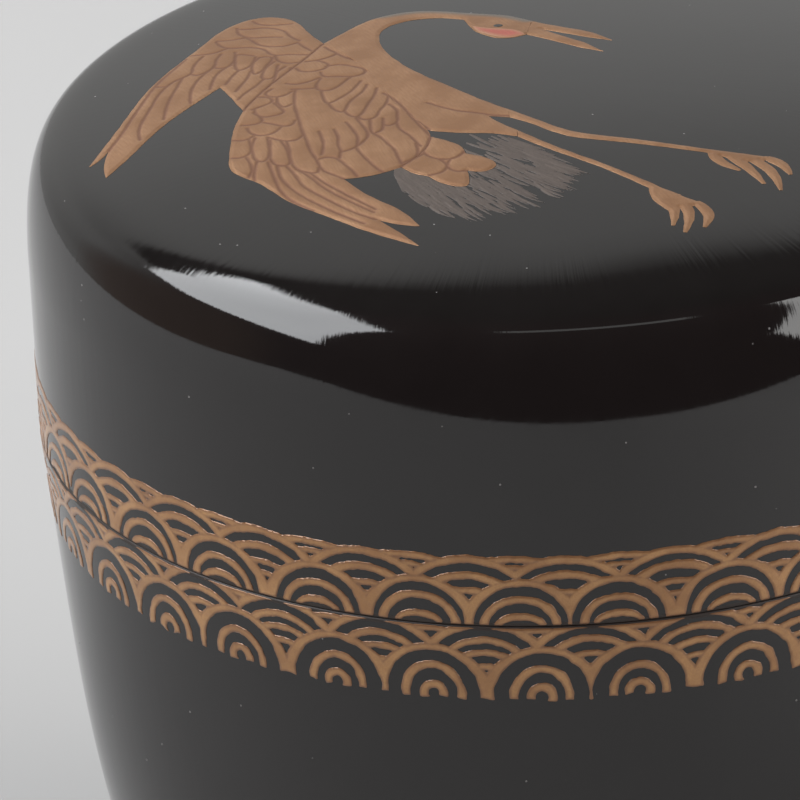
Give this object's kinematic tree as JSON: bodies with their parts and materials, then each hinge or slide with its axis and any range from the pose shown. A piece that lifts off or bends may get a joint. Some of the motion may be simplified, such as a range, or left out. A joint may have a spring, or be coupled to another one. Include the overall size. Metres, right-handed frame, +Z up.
{
  "type": "tea caddy",
  "caption": "Lidded turned tea caddy in black lacquer, with a raised gold crane on the lid and a gold wave band around the seam; the lid lifts straight off.",
  "frame": {"origin": "centre of the foot's resting plane, on the turning axis", "axes": "+Z up along the turning axis; -Y towards the viewer when the crane is upright; +X to their right"},
  "size_m": [0.0672, 0.0672, 0.0691],
  "materials": {
    "wood": "plain turned wood",
    "black_lacquer": "polished black lacquer",
    "gold": "satin gold powder in lacquer",
    "red_lacquer": "red pigment over gold",
    "grey_lacquer": "thin silver-grey powder"
  },
  "bodies": {
    "body": {"body_core": "wood", "body_outer_lacquer": "black_lacquer", "body_inner_lacquer": "black_lacquer", "foot_lacquer": "black_lacquer", "body_wave_band": "gold"},
    "lid": {"lid_core": "wood", "lid_outer_lacquer": "black_lacquer", "lid_inner_lacquer": "black_lacquer", "lid_wave_band": "gold", "crane_far_wing": "gold", "crane_near_wing": "gold", "crane_neck_and_body": "gold", "crane_bill": "gold", "crane_cheek": "red_lacquer", "crane_eye": "black_lacquer", "crane_legs": "gold", "crane_tail_coverts": "gold", "crane_tail_plumes": "grey_lacquer"}
  },
  "joints": [
    {"name": "lid_lift", "type": "slide", "parent": "body", "child": "lid", "axis": [0, 0, 1], "range_m": [0, 0.06]}
  ]
}
